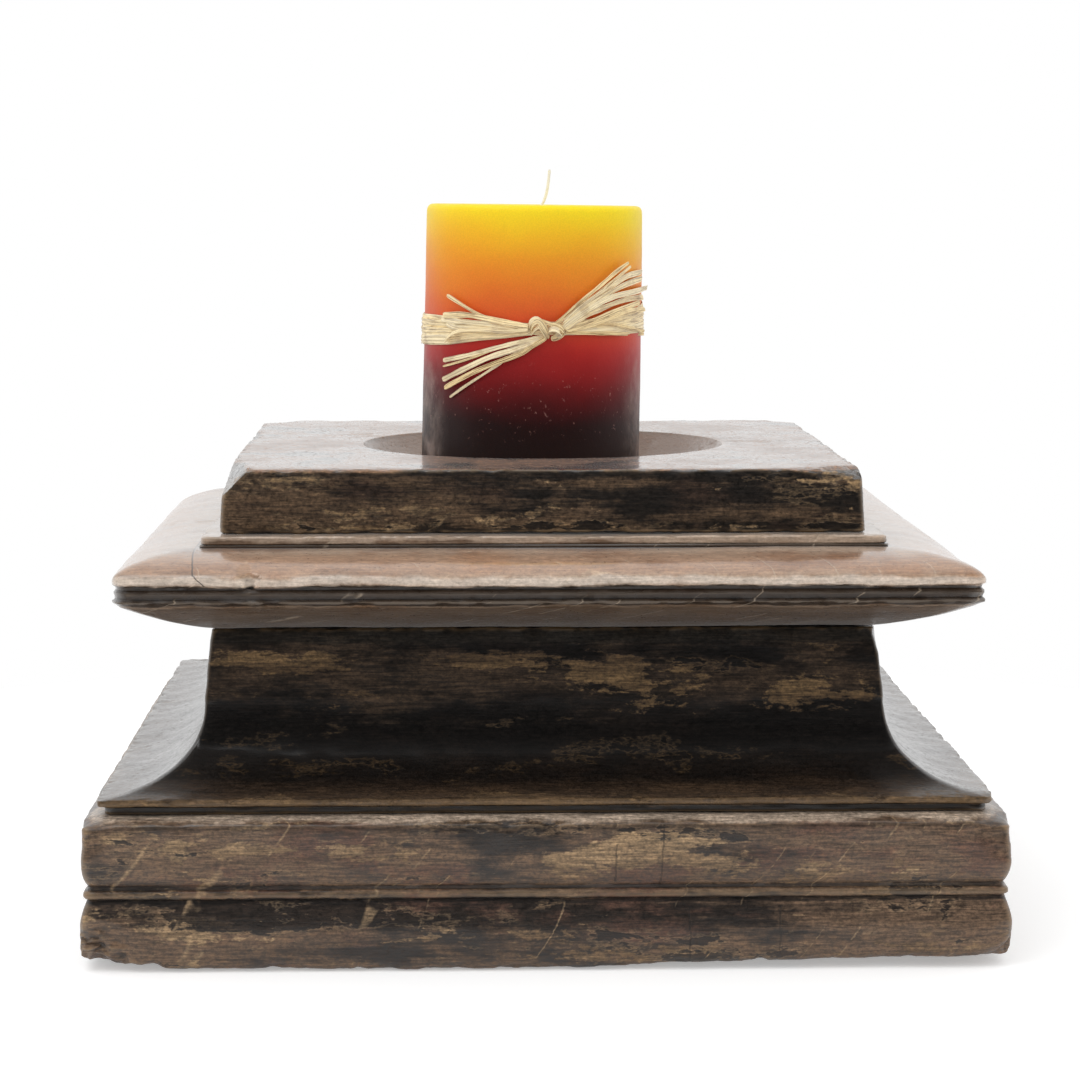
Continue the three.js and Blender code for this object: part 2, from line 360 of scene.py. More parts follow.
def evenRows(outline):
    # splits the long stretches of an outline, in millimetres, and gives metres
    made = [outline[0]]
    for (h0, z0), (h1, z1) in zip(outline, outline[1:]):
        count = max(1, math.ceil(math.hypot(h1 - h0, z1 - z0) / rowStep))
        for i in range(1, count + 1):
            made.append((h0 + (h1 - h0) * i / count, z0 + (z1 - z0) * i / count))
    return [(h * mm, z * mm) for h, z in made]


def mouldedBoard(name, outline, bottom, shape):
    # a square board: one plate drawn up along its outline, then its corners eased
    # and its sides divided finely enough to take the wear
    rows = evenRows(outline)
    selectOnly()
    bpy.ops.mesh.primitive_plane_add(size=2 * rows[0][0], location=(0, 0, bottom + rows[0][1]))
    board = startPiece(name)
    drawRows(rows)
    bpy.ops.object.mode_set(mode="OBJECT")
    bpy.ops.object.transform_apply(location=True, rotation=True, scale=True)
    bpy.ops.object.mode_set(mode="EDIT")

    # the rims of the two end faces
    lowRim = bottom + rows[0][1]
    highRim = bottom + rows[-1][1]
    reachLow = rows[0][0] + 0.1 * mm
    reachHigh = rows[-1][0] + 0.1 * mm

    def onLowRim(p):
        return abs(p.z - lowRim) < near and max(abs(p.x), abs(p.y)) < reachLow

    def onHighRim(p):
        return abs(p.z - highRim) < near and max(abs(p.x), abs(p.y)) < reachHigh

    def onCorner(a, b):
        square = abs(abs(a.x) - abs(a.y)) < near and abs(abs(b.x) - abs(b.y)) < near
        return square and (a - b).length < 20 * mm

    def alongSide(a, b):
        runX = abs(a.x - b.x)
        runY = abs(a.y - b.y)
        return abs(a.z - b.z) < near and min(runX, runY) < near and max(runX, runY) > 4 * mm

    pick(board, "EDGE", onCorner)
    bpy.ops.mesh.bevel(offset=shape["cornerEase"], segments=3, profile=0.5, clamp_overlap=False)
    pick(board, "FACE", lambda *c: all(onLowRim(p) for p in c) or all(onHighRim(p) for p in c))
    bpy.ops.mesh.delete(type="ONLY_FACE")
    for cuts in shape["cuts"]:
        pick(board, "EDGE", alongSide)
        bpy.ops.mesh.subdivide(number_cuts=cuts)
    for onRim in (onLowRim,) if shape.get("openTop") else (onLowRim, onHighRim):
        pick(board, "VERT", onRim)
        bpy.ops.mesh.edge_face_add()
    faceOutwards()
    return board


def weather(piece, wear, seed):
    # moves the surface as hard use does: slow waves, small dents, bitten arrises and single knocks
    shift = Vector((seed * 13.7, seed * 7.1, seed * 3.3))
    arrises = wear.get("arrises", [])
    knocks = wear.get("knocks", [])
    chops = []
    for a, b, c, rough in wear.get("chops", []):
        facing = (Vector(b) - Vector(a)).cross(Vector(c) - Vector(a)).normalized()
        outward = facing.dot(Vector(a) - Vector((0, 0, a[2] - 20)))
        chops.append((Vector(a), facing if outward > 0 else -facing, rough))
    slide = Vector(wear.get("slide", (0, 0, 0)))
    lift = wear.get("lift")
    vertices = piece.data.vertices
    normals = [v.normal.copy() for v in vertices]
    for v, normal in zip(vertices, normals):
        q = v.co / mm + shift
        side = max(abs(v.co.x), abs(v.co.y)) / mm
        height = v.co.z / mm
        out = wear["wave"] * noise.noise(Vector((q.x / 46, q.y / 46, q.z / 25)))
        out += wear["dent"] * noise.noise(Vector((q.x / 9, q.y / 9, q.z / 5)))
        for half, level, reach, depth in arrises:
            gap = math.hypot(side - half, height - level)
            if gap < reach:
                bite = noise.noise(Vector((q.x / 8, q.y / 8, q.z / 6)))
                bite += 0.6 * noise.noise(Vector((q.x / 2.6, q.y / 2.6, q.z / 3)))
                out -= depth * (1 - gap / reach) * max(0.0, bite + 0.25)
        moved = normal * out + slide
        for place, radius, push, rough in knocks:
            gap = (Vector(place) - v.co / mm).length
            if gap < radius:
                share = 1 - (gap / radius) ** 2
                rasp = 1 + rough * noise.noise(Vector((q.x / 3.1, q.y / 3.1, q.z / 2.2)))
                moved += Vector(push) * share * rasp
        if lift:
            moved.z += lift(v.co.x / mm, v.co.y / mm, height)
        # a chop takes off what stands beyond the plane through its three points
        for place, facing, rough in chops:
            beyond = (v.co / mm + moved - place).dot(facing)
            if beyond > 0:
                rasp = rough * (noise.noise(Vector((q.x / 3.5, q.y / 3.5, q.z / 2.5)))
                                + 0.5 * noise.noise(Vector((q.x / 1.4, q.y / 1.4, q.z / 1.2))))
                moved -= facing * (beyond + min(beyond, 1.0) * rasp)
        v.co += moved * mm
    piece.data.update()


def woodPiece(piece, material, node):
    finishPiece(piece, material)
    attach(piece, "stand")
    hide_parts(node)


# Shader groups shared by the woods

def makeFigureGroup():
    # the figure of solid wood sawn along X: broad streaks, fine fibres, soft blotches and a gritty skin
    group, given, made = newGroup("wood_figure", {}, ("Streak", "Fibre", "Blotch", "Grit"))
    place = given["Position"]
    wire(made, {
        "Streak": noiseOf(place, (9, 60, 150), 5, 0.68, 0.3),
        "Fibre": noiseOf(place, (110, 900, 1500), 2, 0.7),
        "Blotch": noiseOf(place, (34, 34, 70), 5, 0.68),
        "Grit": noiseOf(place, (650, 650, 950), 2, 0.75),
    })
    return group


def makeFlakeGroup():
    # where varnish has come off: crisp ragged islands drawn out along the grain
    group, given, made = newGroup("flaked_varnish", {"Bare": 0.3, "Crispness": 0.02}, ("Bare", "Rim"))
    place = given["Position"]
    large = noiseOf(place, (22, 22, 85), 3, 0.6, 0.4)
    middle = noiseOf(place, (95, 95, 260), 4, 0.68, 0.3, (3, 1, 2))
    fine = noiseOf(place, (500, 500, 900), 2, 0.6, 0.0, (1, 5, 2))
    field = plus(times(large, 0.52), times(middle, 0.34), times(fine, 0.14))
    # the field lies close to 0.5 +- 0.15, so a share of 0 to 1 takes the threshold over that band
    threshold = spread(given["Bare"], 0.0, 1.0, 0.66, 0.34, smooth=False)
    crispness = given["Crispness"]
    bare = spread(field, minus(threshold, crispness), plus(threshold, crispness))
    rim = minus(spread(field, minus(threshold, 0.045), threshold), bare, clamp=True)
    wire(made, {"Bare": bare, "Rim": rim})
    return group


def makeScratchGroup():
    # long thin slanting scratches over the upright faces, broken along their length
    group, given, made = newGroup(
        "slant_scratches", {"Slant": 1.0, "Amount": 0.5, "Width": 0.012}, ("Scratch",))
    place = given["Position"]
    x, y, z = axes(place)
    level = plus(x, y)
    cosine = math2("COSINE", given["Slant"])
    sine = math2("SINE", given["Slant"])
    along = plus(times(level, cosine), times(z, sine))
    ragged = times(noiseOf(place, (500, 500, 500), 2), 0.0009)
    across = plus(minus(times(z, cosine), times(level, sine)), ragged)
    lines = noiseOf(vectorOf(times(along, 3.0), times(across, 62.0)), (1, 1, 1), 0.0, 0.5)
    line = spread(sizeOf(minus(lines, 0.5)), 0.0, given["Width"], 1.0, 0.0)
    breaks = noiseOf(place, (58, 58, 58), 3, 0.66, 0.0, (7, 3, 5))
    edge = spread(given["Amount"], 0.0, 1.0, 0.75, 0.35, smooth=False)
    wire(made, {"Scratch": times(line, spread(breaks, edge, plus(edge, 0.06)))})
    return group


def makeCrackGroup():
    # one upright hairline crack on the front, at X between two heights
    group, given, made = newGroup("hair_crack", {"At": 0.0, "Low": 0.0, "High": 0.1, "Lean": 0.0}, ("Crack",))
    place = given["Position"]
    x, y, z = axes(place)
    sway = times(minus(noiseOf(place, (0, 0, 130), 4, 0.6), 0.5), 0.003)
    line = plus(given["At"], times(minus(z, given["Low"]), given["Lean"]))
    crack = spread(sizeOf(minus(plus(x, sway), line)), 0.00005, 0.0004, 1.0, 0.0)
    above = math2("GREATER_THAN", z, given["Low"])
    below = math2("LESS_THAN", z, given["High"])
    front = math2("LESS_THAN", y, -0.05)
    wire(made, {"Crack": times(crack, times(above, below, front))})
    return group


figureGroup = makeFigureGroup()
flakeGroup = makeFlakeGroup()
scratchGroup = makeScratchGroup()
crackGroup = makeCrackGroup()


def rgb(red, green, blue):
    # a colour as it is read on screen, 0 to 255, in the linear values that the shaders take
    made = []
    for value in (red, green, blue):
        share = value / 255
        made.append(share / 12.92 if share <= 0.04045 else ((share + 0.055) / 1.055) ** 2.4)
    return (*made, 1)


def scaleColor(color, factor):
    # darkens or lightens a colour by a factor
    tone = addNode(treeOf(factor), "ShaderNodeCombineColor", {0: factor, 1: factor, 2: factor})
    return blendColor(1.0, color, tone.outputs[0], "MULTIPLY")


def zoned(x, z, value, zones):
    # adds a soft oval change to a value for each zone: X, Z, half width, half height (mm), change
    for atX, atZ, wide, high, change in zones:
        alongX = times(minus(x, atX * mm), 1 / (wide * mm))
        alongZ = times(minus(z, atZ * mm), 1 / (high * mm))
        away = plus(times(alongX, alongX), times(alongZ, alongZ))
        value = plus(spread(away, 0.1, 1.3, change, 0.0), value)
    return value


# what a wood takes where its own look says nothing else
commonLook = {
    "bareZones": [], "islandZones": [], "bands": [], "cracks": [], "matte": [],
    # the third value on the next line is how strongly painted shade darkens hollows and inner corners
    "stain": 0.5, "rub": 0.5, "hollowShade": 0.8,
    "rubFrom": 0.515, "rubTo": 0.56,        # how sharp an edge is where its rubbing starts and is full
    "hollowFrom": 0.487, "hollowTo": 0.43,  # and how hollow a corner is where the painted shade starts and is full
    "crisp": 0.024, "islandCrisp": 0.012,
    "bareStrength": 0.9, "rim": 0.28, "islandStrength": 0.92,
    # the first colour on the next line is the near-black tone of the painted shade in hollows
    "hollowShadeTone": (0.006, 0.004, 0.003, 1), "crackTone": (0.008, 0.006, 0.005, 1), "crackStrength": 0.45,
    "scratchWidth": 0.012, "fine": 0.45, "gritty": 0.5,
    "bareRough": 0.62, "coat": 1.0, "coatIor": 1.7, "pores": 0.5, "dulled": 0.7, "plain": 0.4,
}


def woodFinish(name, ownLook):
    # old varnished wood; the look holds its colours and how worn it is
    look = {**commonLook, **ownLook}
    material, shader, position = newMaterial(name)
    x, y, z = axes(position)
    figure = useGroup(figureGroup, Position=position)

    # two layers of wear: rubbed thin with soft edges, and flaked off to the wood with crisp ones
    rubShare = zoned(x, z, look["rubbed"], look["rubZones"])
    rubField = plus(times(figure["Blotch"], 0.55), times(figure["Streak"], 0.45))
    rubEdge = spread(rubShare, 0.0, 1.0, 0.64, 0.36, smooth=False)
    rubbed = spread(rubField, minus(rubEdge, 0.07), plus(rubEdge, 0.07))
    bareShare = zoned(x, z, look["bare"], look["bareZones"])
    flakes = useGroup(flakeGroup, Position=position, Bare=bareShare, Crispness=look["crisp"])
    islandPlace = stretched(position, (0.7, 0.7, 0.8), (0.31, 0.17, 0.23))
    islandShare = zoned(x, z, look["islands"], look["islandZones"])
    islands = useGroup(flakeGroup, Position=islandPlace, Bare=islandShare, Crispness=look["islandCrisp"])
    scratches = useGroup(scratchGroup, Position=position, Slant=look["slant"],
                         Amount=look["scratches"], Width=look["scratchWidth"])
    rounded = addNode(material.node_tree, "ShaderNodeNewGeometry").outputs["Pointiness"]
    rub = spread(rounded, look["rubFrom"], look["rubTo"], 0.0, look["rub"])
    # painted shade: the more hollow a place is, the darker it is made
    hollow = spread(rounded, look["hollowTo"], look["hollowFrom"], look["hollowShade"], 0.0)

    color = blendColor(rubbed, look["dark"], look["mid"])
    warm = spread(noiseOf(position, (31, 31, 70), 5, 0.62, 0.0, (2, 8, 3)), 0.5, 0.64)
    color = blendColor(times(warm, look["stain"]), color, look["stained"])
    wood = blendColor(spread(figure["Streak"], 0.38, 0.62), look["bareDark"], look["bareLight"])
    color = blendColor(times(flakes["Bare"], look["bareStrength"]), color, wood)
    color = blendColor(times(islands["Rim"], look["rim"]), color, look["bareLight"])
    color = blendColor(times(islands["Bare"], look["islandStrength"]), color, look["dark"])
    level = plus(z, times(minus(figure["Blotch"], 0.5), 5 * mm))
    # bands of colour by height; the looks below say which of them are painted highlight or painted shade
    for low, high, soft, tone, strength in look["bands"]:
        color = blendColor(between(level, low, high, soft, strength), color, tone)
    # painted shade: the groove under the shoulder is made dark
    if "quirk" in look:
        half, low, high, tone = look["quirk"]
        side = math2("MAXIMUM", sizeOf(x), sizeOf(y))
        inside = spread(side, half * mm, (half + 0.6) * mm, 1.0, 0.0)
        soft = 0.075
        inside = times(inside, between(z, low - soft, high + soft, soft))
        color = blendColor(times(inside, 0.9), color, tone)
    color = blendColor(times(scratches["Scratch"], look["scratchStrength"]), color, look["bareLight"])
    fibre = spread(figure["Fibre"], 0.34, 0.66, 1 - look["fine"], 1 + look["fine"], smooth=False)
    grit = spread(figure["Grit"], 0.30, 0.70, 1 - look["gritty"], 1 + look["gritty"], smooth=False)
    color = scaleColor(color, times(fibre, grit))
    if "dish" in look:
        atX, atY, radius, tone = look["dish"]
        alongX = minus(x, atX * mm)
        alongY = minus(y, atY * mm)
        away = math2("SQRT", plus(times(alongX, alongX), times(alongY, alongY)))
        color = blendColor(spread(away, (radius + 1) * mm, (radius - 1) * mm, 0.0, 0.8), color, tone)
    color = blendColor(rub, color, look["bareLight"])
    # painted shade darkens the hollows and inner corners
    color = blendColor(hollow, color, look["hollowShadeTone"])

    # relief: sunk flakes, open grain, grit and scratches
    height = plus(times(flakes["Bare"], -0.35), times(islands["Bare"], 0.3), times(figure["Fibre"], 0.45),
                  times(figure["Grit"], 0.55), times(figure["Streak"], 1.2))
    height = minus(height, times(scratches["Scratch"], 0.5))
    cracked = 0.0
    for at, low, high, lean in look["cracks"]:
        crack = useGroup(crackGroup, Position=position, At=at * mm, Low=low * mm, High=high * mm, Lean=lean)
        cracked = math2("MAXIMUM", cracked, crack["Crack"])
    if look["cracks"]:
        color = blendColor(times(cracked, look["crackStrength"]), color, look["crackTone"])
        height = minus(height, cracked)

    worn = times(math2("MAXIMUM", flakes["Bare"], rub), minus(1.0, islands["Bare"]))
    rough = spread(worn, 0.0, 1.0, look["gloss"], look["bareRough"], smooth=False)
    patchy = spread(figure["Grit"], 0.3, 0.7, -0.10, 0.14, smooth=False)
    coat = spread(worn, 0.0, 1.0, look["coat"], look["coat"] * 0.75, smooth=False)
    pores = spread(figure["Grit"], 0.54, 0.66, 1.0, look["pores"])
    dull = spread(figure["Blotch"], 0.42, 0.62, 1.0, look["dulled"])
    coat = times(coat, times(pores, dull))
    facing = spread(minus(sizeOf(y), sizeOf(x)), 0, 4 * mm)
    for low, high, strength in look["matte"]:     # front and back faces keep less polish
        coat = times(coat, minus(1.0, times(between(z, low, high, 0.5, strength), facing)))
    wire(shader, {
        "Base Color": color,
        "Roughness": math2("ADD", rough, patchy, clamp=True),
        "Coat Weight": coat,
        "Coat Roughness": look["coatRough"],
        "Coat IOR": look["coatIor"],
        "Specular IOR Level": look["plain"],
        "Sheen Weight": look["dust"],
        "Sheen Roughness": 0.3,
    })
    addBump(shader, height, look["relief"], 0.4)
    return material


# Base block

baseShape = {"cuts": (14, 14), "cornerEase": 2.2 * mm}
baseOutline = (
    [(120, 0), (134, 0), (141.3, 0)]
    + curve([(141.3, 0), (145.2, 0), (145.3, 4.6)], 5)
    + [(145.3, 11)]
    + curve([(145.3, 11), (145.3, 16.5), (143, 22.4)], 6)
    + rib(142.8, 24.3, 1.4, 1.5)
    + [(142.7, 26.8)]
    + curve([(142.7, 26.8), (144.6, 29.5), (144.7, 34)], 5)
    + [(144.7, 45.9)]
    + curve([(144.7, 45.9), (144.5, 46.8), (142.6, 47.3)], 4)
    + [(138.8, 48.2), (134, 48.3), (128, 48.3)]
)
# how far the foot of the front face is worn up, against the place along it
frontFoot = [(-146, 4.6), (-139, 5.0), (-137, 3.0), (-134, 1.6), (-122, 2.2), (-119, 0.8), (-83, 0.5),
             (-61, 0.1), (-59, 0.9), (-56, 0.0), (10, 0.4), (48, 1.9), (63, 2.2), (66, 3.2), (69, 2.3),
             (128, 3.0), (141, 4.0), (146, 7.0)]


def stepValue(points, at):
    for (x0, y0), (x1, y1) in zip(points, points[1:]):
        if at <= x1:
            return y0 + (y1 - y0) * max(0.0, (at - x0) / (x1 - x0))
    return points[-1][1]


def footWear(x, y, height):
    # lifts the worn lower edge; the middle of the underside stays flat on the ground
    if height > 14:
        return 0.0
    side = max(abs(x), abs(y))
    outer = min(1.0, max(0.0, (side - 128) / 12))
    if -y >= abs(x) - 1:
        rise = stepValue(frontFoot, x)
    else:
        rise = 2.2 + 2.4 * noise.noise(Vector((x / 24, y / 24, 4.2)))
    return outer * max(0.0, rise) * (1 - height / 14)


baseWear = {
    "wave": 0.35, "dent": 0.16,
    "arrises": [(144.2, 47.8, 4, 0.6), (144.2, 24.3, 2.2, 0.4), (144.5, 1.5, 6, 1.0)],
    "knocks": [((-146, -146, 48), 13, (0.6, 0.9, -1.4), 0.3), ((146, -146, 48), 15, (-0.9, 1.0, -1.8), 0.25),
               ((-140, -147, 3), 14, (0.4, 1.6, 0.6), 1.1), ((147, -147, 2), 14, (-0.6, 0.9, 1.0), 0.25),
               ((-12, -145.5, 48.6), 4, (0, 1.0, -0.9), 0.7), ((2, -145.5, 48.4), 5, (0, 0.9, -0.7), 0.9),
               ((146, 146, 48), 12, (-2.2, -2.2, -2), 0.6), ((-147, 147, 40), 16, (2.2, -2.2, -1), 0.6)],
    "lift": footWear,
}
baseLook = {
    "dark": rgb(35, 25, 18), "mid": rgb(97, 75, 56), "stained": rgb(86, 58, 44),
    "bareDark": rgb(104, 82, 59), "bareLight": rgb(152, 126, 94),
    "rubbed": 0.60, "rubZones": [(125, 24, 50, 60, 0.30), (-120, 40, 60, 12, 0.12), (-90, 20, 70, 8, -0.30),
                                 (10, 18, 90, 9, -0.25), (-10, 42, 90, 5, -0.15)],
    "bare": 0.20, "bareZones": [(-118, 41, 45, 7, 0.20), (-70, 38, 45, 5, 0.12), (60, 37, 75, 10, 0.24),
                                (-70, 13, 80, 6, 0.20), (110, 14, 50, 12, 0.14), (0, 6, 160, 4, 0.1)],
    "islands": 0.18, "islandZones": [(-85, 18, 70, 6, 0.40), (15, 42, 60, 5, 0.2), (60, 19, 60, 5, 0.12)],
    "stain": 0.8, "scratches": 0.58, "slant": 0.95, "scratchStrength": 0.6,
    # the first band is a painted reflection on the top ledge, the next two are painted shade in the grooves
    # under and over the bead, and the last darkens the face just under the top arris
    "bands": [(47.0, 60, 0.6, rgb(176, 158, 140), 0.85), (21.6, 22.9, 0.3, rgb(26, 20, 17), 0.75),
              (26.2, 27.2, 0.3, rgb(34, 26, 22), 0.5), (44.8, 46.2, 0.5, rgb(30, 23, 20), 0.45)],
    "cracks": [(35, 26, 46, 0.05), (21, 28, 40, 0.02), (44, 3, 20, 0.0), (72, 5, 20, 0.02)],
    "gloss": 0.48, "coat": 0.7, "coatRough": 0.24, "relief": 0.75, "dust": 0.12,
    "matte": [(-5, 46, 0.6)],
}
baseBlock = mouldedBoard("worn_base_block", baseOutline, 0, baseShape)
weather(baseBlock, baseWear, 1)
for vertex in baseBlock.data.vertices:
    vertex.co.z = max(vertex.co.z, 0)     # nothing below the floor
woodPiece(baseBlock, woodFinish("worn_brown_varnish", baseLook), "base_block")
print("base block made")


# Neck block

neckShape = {"cuts": (14, 14), "cornerEase": 1.2 * mm}
neckOutline = (
    [(122, 0), (134, 0), (137.4, 0), (137.6, 0.4), (137.6, 2.1), (138.0, 2.5), (139.5, 2.8)]
    + [(139.8, 3.3), (139.8, 4.4)]
    + curve([(139.8, 4.4), (139.8, 4.9), (139.1, 4.9)], 2)
    + curve([(139.1, 4.9), (123.5, 4.9), (108.6, 11.4), (108.6, 31.4)], 24)
    + [(106.3, 53), (105.7, 53.6), (100, 53.6), (92, 53.6)]
)
neckWear = {
    "wave": 0.4, "dent": 0.22,
    "arrises": [(139.8, 53.2, 2.6, 0.7), (106.3, 101.8, 3.0, 0.7)],
    "knocks": [((106, -107, 99), 6, (-0.7, 0.6, 0), 0.6), ((140, -140, 52), 8, (-1.2, 1.2, -0.4), 0.6)],
}
neckLook = {
    "dark": rgb(17, 12, 9), "mid": rgb(62, 47, 33), "stained": rgb(32, 22, 15),
    "bareDark": rgb(70, 53, 35), "bareLight": rgb(108, 85, 56),
    "rubbed": 0.36, "rubZones": [(0, 66, 240, 15, -0.34), (0, 51, 260, 4, 0.6), (0, 100, 240, 3, -0.2),
                                 (62, 85, 60, 18, 0.2), (-60, 87, 60, 14, 0.2)],
    "bare": 0.06, "bareZones": [(-55, 92, 55, 5, 0.40), (-5, 90, 36, 11, 0.34), (62, 87, 44, 14, 0.28),
                                (-92, 91, 30, 6, 0.28), (-60, 78, 40, 5, 0.2), (28, 84, 26, 12, 0.26),
                                (92, 82, 22, 14, 0.18), (0, 51, 260, 3.5, 0.45)],
    "islands": 0.05, "islandZones": [(-8, 88, 30, 8, 0.25), (0, 64, 240, 10, 0.2)],
    "scratches": 0.2, "slant": 0.3, "scratchStrength": 0.25,
    # the first band is painted shade in the recess at the foot of the neck
    "bands": [(48, 50.9, 0.3, rgb(20, 15, 12), 0.85), (51.0, 53.4, 0.5, rgb(108, 86, 63), 0.5),
              (53.4, 56.0, 1.2, rgb(70, 53, 38), 0.35), (97.5, 103, 0.8, rgb(40, 34, 26), 0.6)],
    "gloss": 0.46, "coatRough": 0.17, "relief": 0.5, "dust": 0.05, "pores": 0.7, "dulled": 0.95,
    "plain": 0.25,
    "matte": [(40, 103, 0.78)],
}
neckBlock = mouldedBoard("worn_neck_block", neckOutline, neckLow.z, neckShape)
weather(neckBlock, neckWear, 2)
woodPiece(neckBlock, woodFinish("flaked_black_varnish", neckLook), "neck_block")
print("neck block made")


# Moulding board

mouldShape = {"cuts": (14, 13), "cornerEase": 2.0 * mm}
mouldOutline = (
    [(92, 0), (100, 0), (106.6, 0)]
    + curve([(106.6, 0), (121.5, 3.6), (134.4, 10.9)], 14)
    + [(135.1, 11.3), (135.3, 12.0), (134.3, 12.8), (134.5, 13.5), (134.8, 14.1), (134.8, 14.9)]
    + [(134.0, 15.7), (134.3, 16.4), (135.3, 16.9), (135.4, 17.6)]
    + curve([(135.4, 17.6), (135.2, 22.6), (122.3, 25.8), (110.7, 25.8)], 20)
    + [(109.3, 25.5), (109.6, 26.2), (109.5, 26.6), (108.5, 26.6), (109.2, 27.2), (109.2, 28.9)]
    + [(108.7, 29.4), (103.2, 29.4), (98, 29.4)]
)
mouldWear = {
    "wave": 0.4, "dent": 0.14,
    "arrises": [(135.4, 120, 3, 0.9), (135.2, 114, 3, 0.8), (109.2, 131.5, 2.5, 0.8)],
    "chops": [((-135.4, -132.6, 100), (-132.6, -135.4, 100), (-135.4, -132.6, 125), 0),
              ((136.6, -133.2, 100), (133.6, -136.2, 100), (136.6, -133.2, 125), 0)],
    "knocks": [((-92, -136.2, 121.2), 3.4, (0.3, 2.6, -1.7), 0.5),
               ((-132, 132, 124), 46, (7.0, -7.0, -4.5), 0.2),
               ((138, -138, 117), 28, (1.7, 0.4, 0), 0), ((-137, -137, 116), 8, (1.5, 1.9, 0), 0.2),
               ((137, 137, 119), 14, (-2.5, -2.5, 0), 0.4)],
}
mouldLook = {
    "dark": rgb(112, 88, 68), "mid": rgb(168, 144, 122), "stained": rgb(154, 112, 78),
    "bareDark": rgb(146, 120, 96), "bareLight": rgb(196, 176, 152),
    "rubbed": 0.62, "rubZones": [(0, 106, 300, 5, -0.25)],
    "bare": 0.16, "bareZones": [(0, 119, 300, 5, 0.1), (120, 122, 40, 6, 0.1), (-94, 122, 3, 6, 0.6)],
    # the last value on the next line is how strongly painted shade darkens the hollows
    "islands": 0.0, "scratches": 0.6, "slant": 0.8, "scratchStrength": 0.35, "rub": 0.12, "hollowShade": 0.95,
    # the third band is a painted highlight along the arris over the lip, and the last a painted highlight on
    # the fillet and the ledge on its top
    "bands": [(100, 112.8, 0.8, rgb(64, 43, 21), 0.85), (113.0, 119.3, 0.4, rgb(38, 25, 14), 0.97),
              (119.7, 122.2, 0.7, rgb(220, 206, 192), 0.66), (122.8, 128, 1.5, rgb(158, 104, 66), 0.42),
              (130.2, 133, 0.4, rgb(174, 152, 132), 0.7)],
    "quirk": (109.9, 127.7, 129.2, rgb(40, 28, 22)),      # painted shade in the groove under the shoulder: half width, heights, tone
    "cracks": [(-109.6, 122.5, 130, -0.15), (-105.8, 119.4, 122.8, -1.1)], "crackStrength": 0.8,
    "gloss": 0.36, "coatRough": 0.16, "relief": 0.45, "gritty": 0.2, "fine": 0.16, "dust": 0.25,
    "pores": 0.8, "dulled": 0.9, "matte": [(95, 119.4, 0.9)],
}
mouldingBoard = mouldedBoard("worn_moulding_board", mouldOutline, mouldLow.z, mouldShape)
weather(mouldingBoard, mouldWear, 3)
woodPiece(mouldingBoard, woodFinish("rubbed_red_varnish", mouldLook), "moulding_board")
print("moulding board made")


# Top slab with its dish

slabShape = {"cuts": (12, 12), "cornerEase": 1.8 * mm, "openTop": True}
slabOutline = (
    [(92, 0), (98, 0), (102.8, 0), (103.4, 0.5), (103.2, 3), (102.1, 19.2)]
    + curve([(102.1, 19.2), (102, 20.3), (100.9, 20.3)], 3)
    + [(99.6, 20.3)]
)
dishShape = {
    "middle": (2.4, 0),     # millimetres from the axis of the stand
    "radius": 63.6,
    "depth": 13,
    "floor": 50,
    "underCandle": 36,      # inside this ring the floor is one face
    "rings": 30,            # rows between the rim and the sides of the slab
}


def dishRows(shape):
    # from the rim down the wall and in over the floor: radius and depth, in millimetres
    rows = [(shape["radius"] - 0.35, 0.12)]
    run = shape["radius"] - shape["floor"]
    for i in range(1, 17):
        t = 1 - i / 16
        rows.append((shape["floor"] + run * t - 0.35 * t, shape["depth"] * (1 - t * t)))
    rows += [(radius, shape["depth"]) for radius in range(shape["floor"] - 2, shape["underCandle"] - 1, -2)]
    return rows


def makeTopSlab():
    # the rim is drawn in and rounded to the circle of the dish, and the dish is sunk from there
    slab = mouldedBoard("worn_top_slab", slabOutline, slabLow.z, slabShape)
    top = slabLow.z + slabOutline[-1][1] * mm
    middle = Vector((dishShape["middle"][0] * mm, dishShape["middle"][1] * mm, 0))
    bpy.ops.object.mode_set(mode="EDIT")
    rimHalf = (slabOutline[-1][0] + 0.1) * mm

    def onRim(p):
        return p.z > top - near and max(abs(p.x), abs(p.y)) < rimHalf

    pick(slab, "EDGE", lambda a, b: onRim(a) and onRim(b))
    bpy.ops.mesh.extrude_region_move(TRANSFORM_OT_translate={"value": (0, 0, 0)})
    bpy.ops.transform.tosphere(value=1, center_override=(0, 0, top))
    mesh = bmesh.from_edit_mesh(slab.data)
    rim = [v for v in mesh.verts if v.select]
    radius = sum(math.hypot(v.co.x, v.co.y) for v in rim) / len(rim)
    share = dishShape["radius"] * mm / radius
    bpy.ops.transform.resize(value=(share, share, 1), center_override=(0, 0, top))
    bpy.ops.transform.translate(value=middle)
    rows = [(dishShape["radius"], 0.0)] + [(radius, -depth) for radius, depth in dishRows(dishShape)]
    drawRows(rows, middle.xy, mm)
    bpy.ops.mesh.edge_face_add()

    def onCircle(p):
        away = (p - middle).xy.length - dishShape["radius"] * mm
        return abs(p.z - top) < near and abs(away) < 0.05 * mm

    pick(slab, "EDGE", lambda a, b: abs(a.z - b.z) < near and onCircle(a) != onCircle(b))
    bpy.ops.mesh.subdivide(number_cuts=dishShape["rings"])
    faceOutwards()
    return slab


